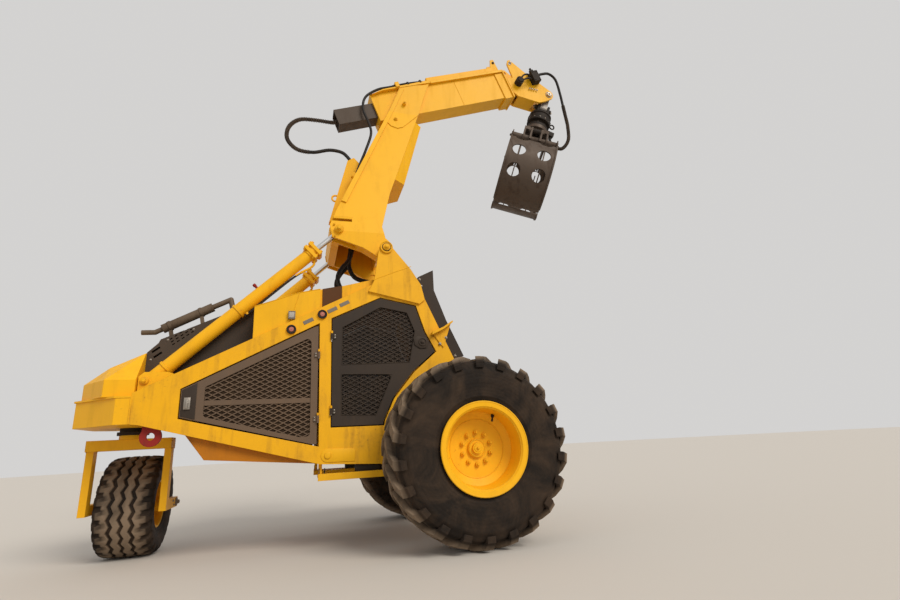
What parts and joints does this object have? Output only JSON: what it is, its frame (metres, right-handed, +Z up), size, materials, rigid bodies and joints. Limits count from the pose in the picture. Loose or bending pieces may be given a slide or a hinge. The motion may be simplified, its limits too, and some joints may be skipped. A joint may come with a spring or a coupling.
{
  "type": "three-wheeled log loader",
  "caption": "Three-wheeled log loader with large driven front wheels, a free tail caster, mesh doors, a goose-neck boom with a sliding arm and a hanging two-jaw grapple.",
  "frame": {"origin": "on the ground at the middle of the machine's bounding box", "axes": "+X towards the grapple, +Y to the machine's left, +Z up"},
  "size_m": [5.5665, 2.856, 6.1647],
  "materials": {
    "yellow_paint": "semi-gloss, dusty",
    "orange_plate": "satin",
    "dark_paint": "satin",
    "brown_paint": "satin",
    "red_paint": "satin",
    "bare_steel": "worn",
    "rod_chrome": "polished",
    "cast_grey": "rough",
    "tyre_rubber": "dusty",
    "seat_vinyl": "matt",
    "hose_rubber": "satin"
  },
  "bodies": {
    "chassis": {"side_frames": "yellow_paint", "tower_ears": "yellow_paint", "cross_members": "yellow_paint", "cylinder_brackets": "yellow_paint", "belly_plate": "orange_plate", "tail_box": "yellow_paint", "tail_hood": "yellow_paint", "engine_hood": "dark_paint", "engine_block": "cast_grey", "muffler": "bare_steel", "tank_housing": "yellow_paint", "side_lamps": "bare_steel", "cab_roof": "yellow_paint", "cab_floor": "dark_paint", "cab_furniture": "dark_paint", "seat_cushion": "seat_vinyl", "front_guard": "dark_paint", "final_drives": "yellow_paint", "swivel_bearing": "cast_grey", "tow_ring": "red_paint", "side_steps": "yellow_paint"},
    "wheel_left": {"rim_left": "yellow_paint", "tyre_left": "tyre_rubber"},
    "wheel_right": {"rim_right": "yellow_paint", "tyre_right": "tyre_rubber"},
    "caster_fork": {"caster_yoke": "yellow_paint"},
    "caster_wheel": {"caster_rim": "yellow_paint", "caster_tyre": "tyre_rubber"},
    "door_engine_left": {"engine_door_left": "brown_paint"},
    "door_engine_right": {"engine_door_right": "brown_paint"},
    "door_cab_left": {"cab_door_left": "dark_paint"},
    "door_cab_right": {"cab_door_right": "dark_paint"},
    "boom": {"boom_riser": "yellow_paint", "outer_boom": "yellow_paint", "hose_tail": "hose_rubber", "hose_knee": "hose_rubber", "hose_foot": "hose_rubber"},
    "boom_slide": {"inner_boom": "bare_steel", "boom_head": "yellow_paint", "head_valves": "cast_grey", "hose_head": "hose_rubber"},
    "lift_cyl_left": {"lift_barrel_left": "yellow_paint"},
    "lift_cyl_right": {"lift_barrel_right": "yellow_paint"},
    "lift_piston_left": {"lift_rod_left": "rod_chrome"},
    "lift_piston_right": {"lift_rod_right": "rod_chrome"},
    "link": {"crane_link": "bare_steel"},
    "rotator_body": {"rotator": "cast_grey"},
    "grapple": {"grapple_frame": "bare_steel"},
    "near_jaw": {"jaw_near": "bare_steel"},
    "far_jaw": {"jaw_far": "bare_steel"},
    "grapple_cylinder": {"grapple_barrel": "cast_grey"},
    "grapple_piston": {"grapple_rod": "rod_chrome"}
  },
  "joints": [
    {"name": "wheel_left_spin", "type": "hinge", "parent": "chassis", "child": "wheel_left", "pos_m": [0.715, 1.124, 0.8], "axis": [0, 1, 0], "continuous": true},
    {"name": "wheel_right_spin", "type": "hinge", "parent": "chassis", "child": "wheel_right", "pos_m": [0.715, -1.124, 0.8], "axis": [0, 1, 0], "continuous": true},
    {"name": "caster_swivel", "type": "hinge", "parent": "chassis", "child": "caster_fork", "pos_m": [-2.255, 0, 1.0855], "axis": [0, 0, 1], "continuous": true},
    {"name": "caster_spin", "type": "hinge", "parent": "caster_fork", "child": "caster_wheel", "pos_m": [-2.255, 0.35, 0.45], "axis": [1, 0, 0], "continuous": true},
    {"name": "engine_door_right_hinge", "type": "hinge", "parent": "chassis", "child": "door_engine_right", "pos_m": [-0.609, -0.632, 1.4], "axis": [0, 0, 1], "range_deg": [0, 85]},
    {"name": "engine_door_left_hinge", "type": "hinge", "parent": "chassis", "child": "door_engine_left", "pos_m": [-0.609, 0.632, 1.4], "axis": [0, 0, -1], "range_deg": [0, 85]},
    {"name": "cab_door_right_hinge", "type": "hinge", "parent": "chassis", "child": "door_cab_right", "pos_m": [-0.492, -0.632, 1.5], "axis": [0, 0, -1], "range_deg": [0, 85]},
    {"name": "cab_door_left_hinge", "type": "hinge", "parent": "chassis", "child": "door_cab_left", "pos_m": [-0.492, 0.632, 1.5], "axis": [0, 0, 1], "range_deg": [0, 85]},
    {"name": "boom_lift", "type": "hinge", "parent": "chassis", "child": "boom", "pos_m": [0.055, 0, 2.87], "axis": [0, 1, 0], "range_deg": [-8, 65], "deforming": ["hose_foot"]},
    {"name": "lift_barrel_right_pivot", "type": "hinge", "parent": "chassis", "child": "lift_cyl_right", "pos_m": [-2.075, -0.42, 1.523], "axis": [0, -1, 0], "range_deg": [-3, 3]},
    {"name": "lift_barrel_left_pivot", "type": "hinge", "parent": "chassis", "child": "lift_cyl_left", "pos_m": [-2.075, 0.42, 1.523], "axis": [0, -1, 0], "range_deg": [-3, 3]},
    {"name": "lift_rod_right_slide", "type": "slide", "parent": "lift_cyl_right", "child": "lift_piston_right", "axis": [0.7207, 0, 0.6932], "range_m": [-0.08, 0.58]},
    {"name": "lift_rod_left_slide", "type": "slide", "parent": "lift_cyl_left", "child": "lift_piston_left", "axis": [0.7207, 0, 0.6932], "range_m": [-0.08, 0.58]},
    {"name": "boom_extend", "type": "slide", "parent": "boom", "child": "boom_slide", "axis": [0.9367, 0, 0.3502], "range_m": [0, 1.1]},
    {"name": "link_swing", "type": "hinge", "parent": "boom_slide", "child": "link", "pos_m": [2.58714, 0, 5.66336], "axis": [0, 1, 0], "range_deg": [-105, 10], "deforming": ["hose_head"]},
    {"name": "rotator_tilt", "type": "hinge", "parent": "link", "child": "rotator_body", "pos_m": [2.52215, 0, 5.48482], "axis": [0.9397, 0, -0.342], "range_deg": [-25, 25]},
    {"name": "rotator_turn", "type": "hinge", "parent": "rotator_body", "child": "grapple", "pos_m": [2.38193, 0, 5.09955], "axis": [0.342, 0, 0.9397], "continuous": true},
    {"name": "jaw_near_hinge", "type": "hinge", "parent": "grapple", "child": "near_jaw", "pos_m": [2.19398, -0.23287, 4.75292], "axis": [-0.9118, 0.2419, 0.3319], "range_deg": [0, 60]},
    {"name": "jaw_far_hinge", "type": "hinge", "parent": "grapple", "child": "far_jaw", "pos_m": [2.3031, 0.23287, 4.71321], "axis": [0.9118, -0.2419, -0.3319], "range_deg": [0, 60]},
    {"name": "grapple_barrel_pivot", "type": "hinge", "parent": "near_jaw", "child": "grapple_cylinder", "pos_m": [2.21522, -0.29109, 4.85374], "axis": [-0.9118, 0.2419, 0.3319], "range_deg": [-60, 0]},
    {"name": "grapple_rod_slide", "type": "slide", "parent": "grapple_cylinder", "child": "grapple_piston", "axis": [-0.2273, -0.9703, 0.0827], "range_m": [0, 0.24]}
  ],
  "couplings": [
    {"joint": "lift_rod_right_slide", "follows": "boom_lift", "m_per_rad": 0.508},
    {"joint": "lift_rod_left_slide", "follows": "boom_lift", "m_per_rad": 0.508},
    {"joint": "lift_barrel_right_pivot", "follows": "boom_lift", "ratio": -0.025},
    {"joint": "lift_barrel_left_pivot", "follows": "boom_lift", "ratio": -0.025},
    {"joint": "jaw_far_hinge", "follows": "jaw_near_hinge", "ratio": 1},
    {"joint": "grapple_barrel_pivot", "follows": "jaw_near_hinge", "ratio": -1},
    {"joint": "grapple_rod_slide", "follows": "jaw_near_hinge", "m_per_rad": 0.226}
  ]
}
